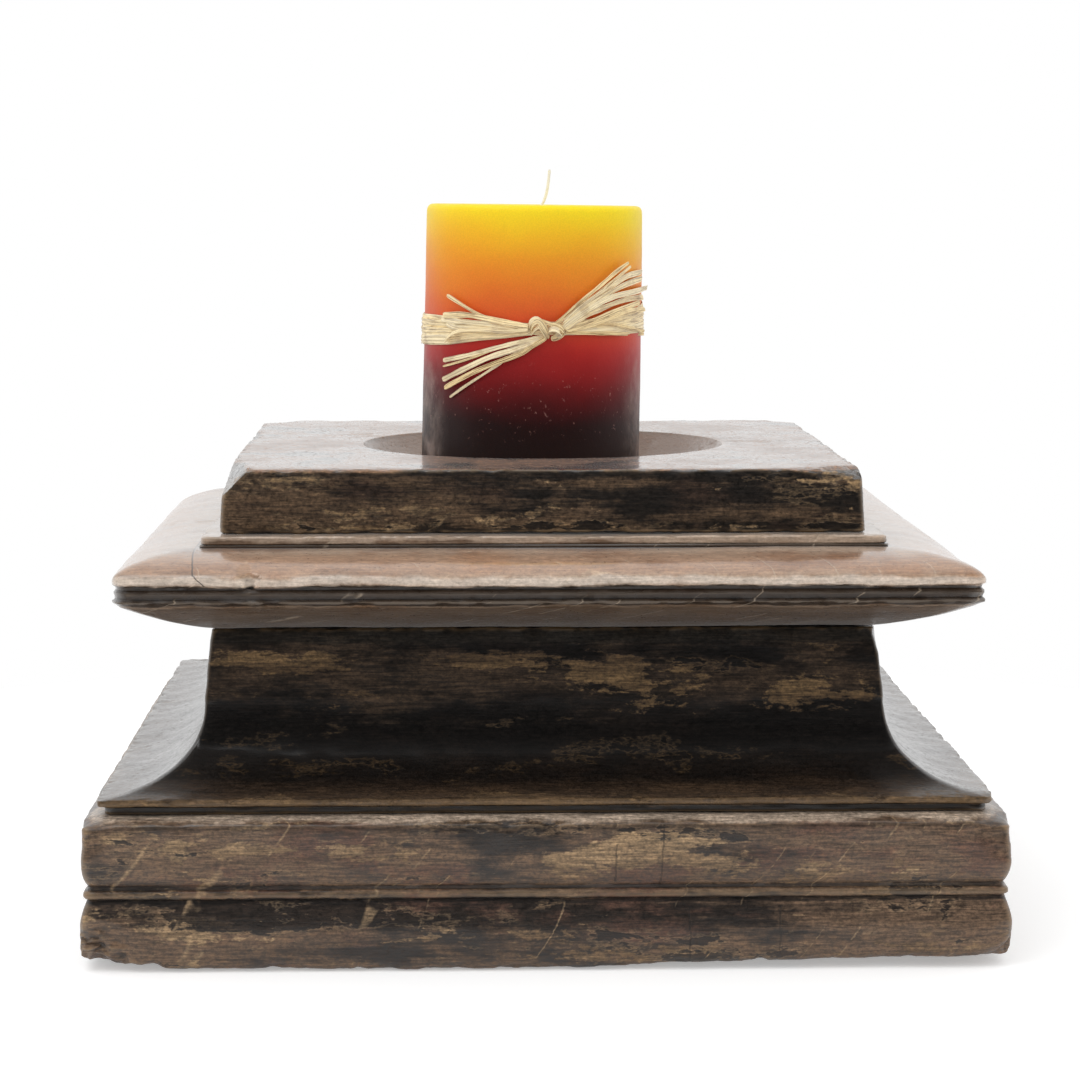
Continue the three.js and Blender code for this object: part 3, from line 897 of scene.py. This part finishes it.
slabWear = {
    "wave": 0.3, "dent": 0.10,
    "arrises": [(101.8, 152.3, 2.6, 0.8), (103.2, 132.5, 2.0, 0.8)],
    "slide": (-0.3, 0, 0),
    "chops": [((-94, -103, 152.6), (-103.4, -103, 143.4), (-101.4, -58, 152.6), 0.2),
              ((74, -102.6, 152.6), (102.6, -90, 152.4), (103, -103, 148.6), 1.1)],
    "knocks": [((92, -103, 152), 5, (0, 1.5, -1.2), 0.8), ((-103, 103, 153), 14, (2.6, -2.6, -1.5), 0.4),
               ((103, 103, 153), 12, (-2.2, -2.2, -1.2), 0.4)],
}
slabLook = {
    "dark": rgb(28, 21, 15), "mid": rgb(84, 64, 44), "stained": rgb(58, 39, 26),
    "bareDark": rgb(92, 73, 49), "bareLight": rgb(146, 119, 84),
    "rubbed": 0.44, "rubZones": [(-60, 141, 60, 14, 0.22), (66, 141, 46, 14, -0.34)],
    "bare": 0.16, "bareZones": [(-50, 137, 60, 5, 0.30), (-70, 146, 30, 5, 0.18), (20, 143, 30, 5, 0.08),
                                (90, 147, 14, 4.5, 0.22)],
    "islands": 0.14, "islandZones": [(80, 147, 26, 6, 0.3), (0, 134, 120, 2.5, 0.25)],
    "scratches": 0.35, "slant": 0.6, "scratchStrength": 0.4,
    "bands": [(152.1, 160, 0.2, rgb(140, 104, 80), 0.7), (150.2, 151.6, 0.4, rgb(26, 20, 15), 0.6),
              (132, 133.2, 0.4, rgb(24, 18, 14), 0.7)],
    "dish": (2.4, 0, 63.4, rgb(182, 158, 142)),
    "gloss": 0.42, "coatRough": 0.14, "relief": 0.7, "gritty": 0.55, "dust": 0.12, "pores": 0.35,
    "matte": [(130, 151.4, 0.6)],
}
topSlab = makeTopSlab()
weather(topSlab, slabWear, 4)
woodPiece(topSlab, woodFinish("streaked_brown_varnish", slabLook), "top_slab")
print("top slab made")


# Dowels inside the boards keep their meshes

def makeDowelWood():
    material, shader, position = newMaterial("plain_dowel_wood")
    upright = stretched(position, (1, 1, 1), turn=(0, math.pi / 2, 0))
    figure = useGroup(figureGroup, Position=upright)
    color = blendColor(spread(figure["Streak"], 0.35, 0.65), rgb(150, 118, 82), rgb(188, 156, 116))
    color = blendColor(spread(figure["Fibre"], 0.5, 0.7, 0, 0.4), color, rgb(118, 88, 58))
    wire(shader, {"Base Color": color, "Roughness": spread(figure["Fibre"], 0.3, 0.7, 0.6, 0.8)})
    addBump(shader, figure["Fibre"], 0.4, 0.2)
    return material


dowelWood = makeDowelWood()
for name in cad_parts:
    if "_dowel_" in name:
        dowel = bpy.data.objects[name]
        dowel.data.materials.clear()
        dowel.data.materials.append(dowelWood)


# Candle

candleShape = {
    "foot": 38.5,           # radii, in millimetres
    "top": 37.7,
    "footX": -2.4,          # middle of the candle at its foot and at its top
    "topX": -0.7,
    "shoulder": 2.6,        # rounding at the top edge
    "tilt": 0.5,            # how much higher the left of the top is
    "pit": 1.2,             # how far to the right the hollow round the wick lies
    "around": 160,
}
candleColors = [
    (130, (30, 22, 20)), (161, (34, 22, 22)), (168, (70, 12, 16)), (176, (126, 16, 20)), (184, (172, 24, 26)),
    (191, (206, 52, 36)), (198, (222, 88, 36)), (207, (234, 126, 34)), (218, (242, 160, 32)),
    (227, (250, 196, 30)), (236, (255, 232, 30)),
]


def makeCandle(shape):
    bottom = waxLow.z
    height = waxHigh.z - bottom
    top = height / mm
    foot = shape["foot"]
    rows = [(foot - 1.8, 0)] + curve([(foot - 1.6, 0), (foot - 0.1, 0), (foot, 1.5)], 4)
    steps = 44
    for i in range(1, steps + 1):
        share = i / steps
        rows.append((foot + (shape["top"] - foot) * share, 1.5 + (top - 1.5 - shape["shoulder"]) * share))
    edge = rows[-1]
    rows += curve([edge, (edge[0], top), (edge[0] - shape["shoulder"], top)], 6)
    rows += [(r, top - 0.15) for r in range(32, 8, -4)]
    rows += [(6, top - 0.5), (4.2, top - 1.2), (3, top - 1.9), (2, top - 2.4)]
    selectOnly()
    bpy.ops.mesh.primitive_circle_add(vertices=shape["around"], radius=rows[0][0] * mm,
                                      location=(candleX, candleY, bottom + rows[0][1] * mm))
    candle = startPiece("gradient_candle")
    drawRows(rows, (candleX, candleY), mm)
    bpy.ops.mesh.edge_face_add()
    pick(candle, "VERT", lambda p: p.z < bottom + near)
    bpy.ops.mesh.edge_face_add()
    faceOutwards()
    bpy.ops.object.transform_apply(location=True, rotation=True, scale=True)
    for v in candle.data.vertices:
        share = (v.co.z - bottom) / height
        x = v.co.x - candleX
        lean = shape["footX"] * mm - candleX + (shape["topX"] - shape["footX"]) * mm * share
        q = v.co / mm
        side = Vector((x, v.co.y - candleY, 0))
        out = 0.22 * noise.noise(Vector((q.x / 30, q.y / 30, q.z / 24))) + 0.06 * noise.noise(q / 5)
        if side.length > 4 * mm:
            v.co += side.normalized() * out * mm
        pitted = max(0.0, 1 - side.length / (12 * mm))
        v.co.x += lean + shape["pit"] * mm * pitted
        v.co.z += shape["tilt"] * mm * (-x / 0.038) * max(0.0, share - 0.6) / 0.4
    candle.data.update()
    return candle


def makeWax():
    material, shader, position = newMaterial("sunset_wax")
    x, y, z = axes(position)
    wave = noiseOf(position, (22, 22, 40), 3)
    level = plus(z, times(minus(wave, 0.5), 0.012), times(x, 0.07))
    low, high = candleColors[0][0], candleColors[-1][0]
    share = spread(level, low * mm, high * mm, smooth=False)
    ramp = addNode(material.node_tree, "ShaderNodeValToRGB", {"Fac": share})
    ramp.color_ramp.interpolation = "B_SPLINE"
    stops = ramp.color_ramp.elements
    stops[0].color = rgb(*candleColors[0][1])
    stops[1].color = rgb(*candleColors[-1][1])
    for height, color in candleColors[1:-1]:
        stops.new((height - low) / (high - low)).color = rgb(*color)
    cloud = noiseOf(position, (105, 105, 80), 6, 0.68, 0.3)
    mottle = noiseOf(position, (2200, 2200, 2200), 2, 0.6)
    color = blendColor(spread(mottle, 0.3, 0.7, 0, 0.10), ramp.outputs["Color"], (0.02, 0.01, 0.008, 1))
    # pale wax bloom on the lower half, with a painted reflection thickest towards the two sides as seen from
    # the front, and small pale specks
    sides = spread(sizeOf(plus(x, 1.5 * mm)), 29 * mm, 38 * mm)
    lowHalf = spread(z, 200 * mm, 172 * mm, 0.25, 1.0)
    bloomAndPaintedSheen = times(spread(cloud, 0.36, 0.74, 0, 0.5), times(sides, lowHalf))
    color = blendColor(bloomAndPaintedSheen, color, rgb(196, 176, 166))
    speck = noiseOf(position, (560, 560, 560), 3, 0.7)
    belt = times(spread(z, 152 * mm, 166 * mm), spread(z, 186 * mm, 170 * mm))
    color = blendColor(times(spread(speck, 0.63, 0.71, 0, 0.34), belt), color, rgb(205, 150, 140))
    wire(shader, {
        "Base Color": color,
        "Roughness": spread(cloud, 0.3, 0.7, 0.36, 0.52, smooth=False),
        "Subsurface Weight": 0.12,
        "Subsurface Radius": (1.0, 0.35, 0.15),
        "Subsurface Scale": 2.0 * mm,
        "Specular IOR Level": 0.22,
    })
    addBump(shader, plus(times(mottle, 0.3), times(speck, 0.7)), 0.35, 0.25)
    return material


candle = makeCandle(candleShape)
finishPiece(candle, makeWax())
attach(candle, "candle")
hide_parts("candle_wax")
print("candle made")


# Strands: the wick and the raffia

def between4(a, b, c, d, t):
    # the smooth line between b and c, given the values before and after them
    bend = (2 * a - 5 * b + 4 * c - d) * t * t
    return 0.5 * (2 * b + (c - a) * t + bend + (3 * b - a - 3 * c + d) * t ** 3)


def smoothPath(points, step):
    # an even walk along a smooth line through the points; each point may carry more numbers than x, y, z
    found = []
    count = len(points)
    for i in range(count - 1):
        p0, p1 = points[max(i - 1, 0)], points[i]
        p2, p3 = points[i + 1], points[min(i + 2, count - 1)]
        length = math.dist(p1[:3], p2[:3])
        pieces = max(2, round(length / step))
        for k in range(pieces):
            t = k / pieces
            found.append(tuple(between4(*along, t) for along in zip(p0, p1, p2, p3)))
    found.append(tuple(points[-1]))
    return found


def ribbonOutline(name, outline):
    # the closed cross-section that a strand is swept with, one unit wide
    data = bpy.data.curves.new(name, "CURVE")
    data.dimensions = "2D"
    spline = data.splines.new("POLY")
    spline.points.add(len(outline) - 1)
    for point, (x, y) in zip(spline.points, outline):
        point.co = (x, y, 0, 1)
    spline.use_cyclic_u = True
    made = bpy.data.objects.new(name, data)
    bpy.context.scene.collection.objects.link(made)
    return made


def makeStrand(points, width, section, tilts=None):
    # points in millimetres with a share of the width each; returns a mesh object with a strand attribute
    data = bpy.data.curves.new("strand", "CURVE")
    data.dimensions = "3D"
    data.twist_mode = "Z_UP"
    data.bevel_mode = "OBJECT"
    data.bevel_object = section
    data.use_fill_caps = True
    spline = data.splines.new("POLY")
    spline.points.add(len(points) - 1)
    for i, point in enumerate(points):
        spline.points[i].co = (point[0] * mm, point[1] * mm, point[2] * mm, 1)
        spline.points[i].radius = width * mm * point[3]
        spline.points[i].tilt = tilts[i] if tilts else 0.0
    made = bpy.data.objects.new("strand", data)
    bpy.context.scene.collection.objects.link(made)
    selectOnly(made)
    bpy.ops.object.convert(target="MESH")
    made = bpy.context.object
    across = len(section.data.splines[0].points)
    marks = made.data.attributes.new("strand", "FLOAT_VECTOR", "POINT")
    run = 0.0
    tint = noise.noise(Vector(points[0][:3]) * 3.7 + Vector((width * 31, 2, 5))) * 0.5 + 0.5
    for i, v in enumerate(made.data.vertices):
        ring = min(i // across, len(points) - 1)
        if ring > 0 and i % across == 0:
            run += math.dist(points[ring][:3], points[ring - 1][:3])
        marks.data[i].vector = (run, (i % across) / across * 6, tint)
    return made


def joinStrands(strands, name):
    selectOnly(*strands)
    bpy.ops.object.join()
    joined = bpy.context.object
    joined.name = name
    joined.data.name = name
    bpy.ops.object.mode_set(mode="EDIT")
    bpy.ops.mesh.select_all(action="SELECT")
    bpy.ops.mesh.remove_doubles(threshold=0.000001)
    faceOutwards()
    return joined


def makeStrandMaterial(name, look):
    # dry fibre: fine lines along each strand, a tint of its own for every strand
    material, shader, position = newMaterial(name)
    marks = addNode(material.node_tree, "ShaderNodeAttribute", attribute_name="strand")
    along, across, tint = axes(marks.outputs["Vector"])
    place = vectorOf(times(along, look["along"]), times(across, look["across"]), times(tint, 37.0))
    lines = noiseOf(place, (1, 1, 1), 4, 0.6, 0.2)
    color = blendColor(spread(lines, 0.34, 0.54), look["dark"], look["light"])
    color = blendColor(spread(tint, 0.25, 0.75, 0, look["vary"]), color, look["other"])
    soft = spread(noiseOf(position, (160, 160, 160), 3), 0.5, 0.72, 0, 0.35)
    color = blendColor(soft, color, look["dark"])
    rough = spread(lines, 0.3, 0.7, look["rough"] + 0.1, look["rough"] - 0.08)
    wire(shader, {"Base Color": color, "Roughness": rough, "Sheen Weight": 0.15})
    addBump(shader, lines, 0.7, 0.12)
    return material


roundOutline = ribbonOutline("round_section", [(0.5 * math.cos(a), 0.5 * math.sin(a))
                                               for a in [2 * math.pi * k / 8 for k in range(8)]])
# a raffia strand is a leaf strip folded on itself: thin, a little wavy across
wavyEdge = [(-0.5, 0.00), (-0.3, 0.07), (-0.1, -0.03), (0.1, 0.06), (0.3, -0.02), (0.5, 0.03)]
raffiaOutline = ribbonOutline("raffia_section", [(y + 0.05, x) for x, y in wavyEdge]
                              + [(y - 0.06, x) for x, y in reversed(wavyEdge)])

wickShape = {
    "route": [(0.3, 0, 232.5), (1.0, 0, 234.6), (2.3, 0, 236.9), (3.4, 0, 240.0), (4.1, 0, 244.0),
              (4.5, 0, 248.3)],
    "strands": 3,
    "strandWidth": 0.6,
    "spread": 0.24,         # distance of each strand from the middle
    "turn": 2.4,            # millimetres for a full turn
}


def makeWick(shape):
    strands = []
    route = smoothPath(shape["route"], 0.3)
    for k in range(shape["strands"]):
        points = []
        run = 0.0
        for i, (x, y, z) in enumerate(route):
            if i:
                run += math.dist(route[i], route[i - 1])
            angle = 2 * math.pi * (run / shape["turn"] + k / shape["strands"])
            left = (len(route) - 1 - i) / 6
            points.append((x + shape["spread"] * math.cos(angle), y + shape["spread"] * math.sin(angle), z,
                           min(1.0, 0.6 + left)))
        strands.append(makeStrand(points, shape["strandWidth"], roundOutline))
    return joinStrands(strands, "plaited_wick")


cottonLook = {
    "dark": rgb(226, 224, 218), "light": rgb(250, 249, 246), "other": rgb(242, 240, 234), "vary": 0.3,
    "along": 1.2, "across": 1.4, "rough": 0.85,
}
wick = makeWick(wickShape)
finishPiece(wick, makeStrandMaterial("waxed_cotton", cottonLook))
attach(wick, "candle")
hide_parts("wick")


# Raffia tie. Each strand is (width, [(x, z, how far it stands off the wax), ...]) in millimetres.

raffiaLook = {
    "dark": rgb(142, 98, 48), "light": rgb(255, 229, 170), "other": rgb(255, 246, 216), "vary": 0.55,
    "along": 0.10, "across": 2.2, "rough": 0.55,
}
raffiaTails = {
    "raffia_tails_left": [
        (1.25, [(-31.4, 205.4, 1.6), (-24.9, 201.5, 1.8), (-20.1, 198.9, 1.8), (-14.1, 197, 2),
            (-4, 195.4, 2.6)]),
        (1.9, [(-32.8, 198.4, 1.4), (-24.2, 198.8, 1.7), (-15.4, 197.3, 1.9), (-3.9, 195, 2.4)]),
        (1.7, [(-33.3, 197.1, 0.9), (-26.9, 196.5, 1.3), (-18.8, 196, 1.6), (-3.9, 194.4, 2.2)]),
        (1.7, [(-31.6, 195.8, 0.8), (-27.6, 194.4, 1.1), (-16.8, 194.6, 1.4), (-3.9, 194.2, 2)]),
        (1.15, [(-32.3, 189.3, 2.2), (-30.9, 191.3, 2.2), (-27.6, 193.3, 2.2), (-20.2, 193.9, 2.3),
            (-12, 193.5, 2.5), (-4, 194.2, 2.8)]),
        (1.6, [(-31.6, 189.9, 0.8), (-23.5, 191.4, 1), (-14.7, 192.2, 1.3), (-3.9, 193.2, 1.8)]),
        (1.35, [(-32.8, 182.9, 0.8), (-23.6, 185.3, 0.9), (-12, 188.6, 1.2), (1.5, 191.9, 1.9)]),
        (0.75, [(-32.9, 180.8, 0.5), (-23.6, 184, 0.7), (-14.7, 187.5, 1), (-0.5, 191.1, 1.6)]),
        (1.75, [(-33, 176.2, 0.9), (-27, 179.6, 0.9), (-17.5, 184.4, 1), (-9.3, 187.2, 1.3),
            (0.1, 190.7, 1.9)]),
        (1.5, [(-32.4, 173.5, 1.6), (-27, 176.9, 1.7), (-20.9, 180.2, 1.8), (-14.1, 183.1, 1.9),
            (-6.7, 185.9, 2.2), (-3.3, 188, 2.4), (2.1, 191.4, 2.6)]),
        (0.85, [(-30.6, 170.4, 0.5), (-25, 174.7, 0.6), (-18.1, 179.4, 0.8), (-10.7, 184.5, 1),
            (-3.9, 188.6, 1.4)]),
    ],
    "raffia_tails_right": [
        (1.15, [(31, 216.4, 2.4), (26.3, 213.3, 2.3), (20.7, 208.7, 2.2), (13.7, 203.3, 2.2),
            (6.9, 197.4, 2.4), (4.5, 195.3, 2.6)]),
        (0.95, [(31.9, 215.1, 1.5), (25, 210, 1.5), (17.9, 204.8, 1.6), (11, 200.6, 1.8), (6.6, 196.6, 2.2)]),
        (1.9, [(36.2, 212.8, 1), (29.3, 211.3, 1.2), (20.7, 205.9, 1.4), (13.8, 201.2, 1.6), (8.3, 196, 2)]),
        (1.9, [(36.2, 210.6, 1.4), (27.9, 208.1, 1.5), (19.3, 203.1, 1.7), (7.9, 195.5, 2.2)]),
        (1.7, [(38.8, 207.1, 1.6), (33.8, 206.4, 1.7), (24.3, 204.5, 1.8), (15.1, 199.8, 1.9),
            (7.9, 194.8, 2.4)]),
        (1.7, [(36.8, 204.1, 1), (29.4, 203.6, 1.2), (20.7, 200.8, 1.4), (13.8, 197.8, 1.6),
            (8.6, 194.4, 2)]),
        (1.6, [(35.4, 202.4, 1.5), (27.2, 200.1, 1.4), (18, 196.8, 1.4), (9, 194, 1.8)]),
        (1.4, [(37.5, 199.9, 1.8), (31.6, 199.9, 1.5), (25, 198, 1.3), (17.3, 195.5, 1.3), (9, 193.6, 1.6)]),
        (1.15, [(37.5, 191, 0.9), (28, 192.1, 0.9), (17.3, 192.7, 1), (9, 193.3, 1.5)]),
        (1, [(37.4, 192.2, 1.5), (31.6, 193.9, 1.2), (24.3, 195.6, 1), (16.6, 195, 1), (9, 193.6, 1.4)]),
    ],
    "raffia_knot_strands": [
        (1.6, [(-3.8, 193.9, 0.6), (-3.1, 196.7, 2.6), (-0.9, 197.9, 4), (1.6, 194.8, 3.8),
            (2.7, 191.6, 1.6)]),
        (1.5, [(-3.2, 193.2, 0.8), (-2.5, 195.8, 3), (-0.4, 197, 4.6), (2, 193.8, 4), (3.2, 191.3, 1.6)]),
        (1.5, [(-2.9, 192.4, 0.8), (-1.6, 194.4, 2.6), (0.1, 195.4, 3.8), (1.8, 192.8, 3.2),
            (2.5, 191, 1.2)]),
        (1.7, [(2.2, 194, 1), (4.1, 195.9, 3.4), (6.9, 195, 3.8), (8, 193.2, 2.6), (6.5, 191.8, 2.8),
            (3.9, 191, 1.4)]),
        (1.8, [(2, 192.5, 1.2), (3.6, 194.3, 3.9), (5.8, 194.2, 4.7), (6.8, 192.8, 4), (5.4, 191.5, 2)]),
        (1.3, [(-0.6, 197.6, 2.4), (2.1, 196.7, 3.6), (4.8, 195.8, 3.2), (7.7, 194.7, 2)]),
    ],
}
tailNodes = {
    "raffia_tails_left": ("raffia_tail_upper_left", "raffia_tail_left", "raffia_tail_lower_left"),
    "raffia_tails_right": ("raffia_tail_right", "raffia_tail_upper_right"),
    "raffia_knot_strands": ("raffia_knot",),
}
bandShape = {
    "strands": 10,
    "width": 2.3,
    "lap": 0.26,            # each layer stands this much further off the wax
}
# middle height and spread of the band against the angle from the knot, leftwards all the way round
bandRun = [(0, 194.4, 1.6), (14, 194.0, 3.2), (50, 193.2, 7.4), (90, 192.8, 9.4), (180, 194.2, 9.8),
           (262, 196.8, 9.6), (285, 196.6, 8.0), (330, 194.8, 3.4), (360, 194.4, 1.6)]


def waxRadius(z):
    share = (z - waxLow.z / mm) / ((waxHigh.z - waxLow.z) / mm)
    middle = candleShape["footX"] + (candleShape["topX"] - candleShape["footX"]) * share
    return middle, candleShape["foot"] + (candleShape["top"] - candleShape["foot"]) * share


def overWax(x, z, off):
    # the front point at x and z that stands off the wax by that much
    middle, radius = waxRadius(z)
    reach = radius + off + 0.25
    side = min(max(x - middle, -reach), reach)
    return (x, candleY / mm - math.sqrt(max(0.0, reach * reach - side * side)), z)


def makeTails(name, strands):
    made = []
    for k, (width, route) in enumerate(strands):
        path = smoothPath([overWax(*point) for point in route], 0.8)
        count = len(path)
        points = []
        tilts = []
        for i, (x, y, z) in enumerate(path):
            q = Vector((x / 4, z / 4, k * 3.1))
            ends = min(1.0, 0.55 + 0.9 * min(i, count - 1 - i) / 3)
            points.append((x, y, z, ends * (1 + 0.22 * noise.noise(q))))
            tilts.append(0.9 * noise.noise(Vector((i / 16, k * 2.3, 1.7))))
        made.append(makeStrand(points, width * 1.12, raffiaOutline, tilts))
    return joinStrands(made, name)


def makeBand(shape):
    made = []
    count = shape["strands"]
    for k in range(count):
        place = k / (count - 1) - 0.5
        points = []
        tilts = []
        for step in range(0, 121):
            angle = step * 3
            middleZ = stepValue([(a, z) for a, z, wide in bandRun], angle)
            wide = stepValue([(a, wide) for a, z, wide in bandRun], angle)
            z = middleZ + place * wide + 0.5 * noise.noise(Vector((angle / 40, k * 1.9, 0.3)))
            off = 0.2 + shape["lap"] * (k * 2 % 3) + 0.16 * noise.noise(Vector((angle / 30, k * 2.7, 9.1)))
            off += 0.7 * max(0.0, 1 - min(angle, 360 - angle) / 14)
            middle, radius = waxRadius(z)
            turn = math.radians(angle) + math.pi / 2
            reach = radius + off + 0.1
            points.append((middle + reach * math.cos(turn), candleY / mm - reach * math.sin(turn), z,
                           1 + 0.2 * noise.noise(Vector((angle / 25, k * 5.3, 4.4)))))
            tilts.append(0.35 * noise.noise(Vector((angle / 30, k * 4.1, 2.2))))
        width = shape["width"] * (0.75 + 0.5 * abs(math.sin(k * 2.1)))
        made.append(makeStrand(points, width, raffiaOutline, tilts))
    return joinStrands(made, "raffia_band_strands")


raffiaMaterial = makeStrandMaterial("dry_raffia", raffiaLook)
band = makeBand(bandShape)
finishPiece(band, raffiaMaterial)
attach(band, "candle")
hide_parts("raffia_band")
for name, strands in raffiaTails.items():
    tails = makeTails(name, strands)
    finishPiece(tails, raffiaMaterial)
    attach(tails, "candle")
    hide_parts(*tailNodes[name])
bpy.data.objects.remove(roundOutline)
bpy.data.objects.remove(raffiaOutline)
print("wick and raffia made")
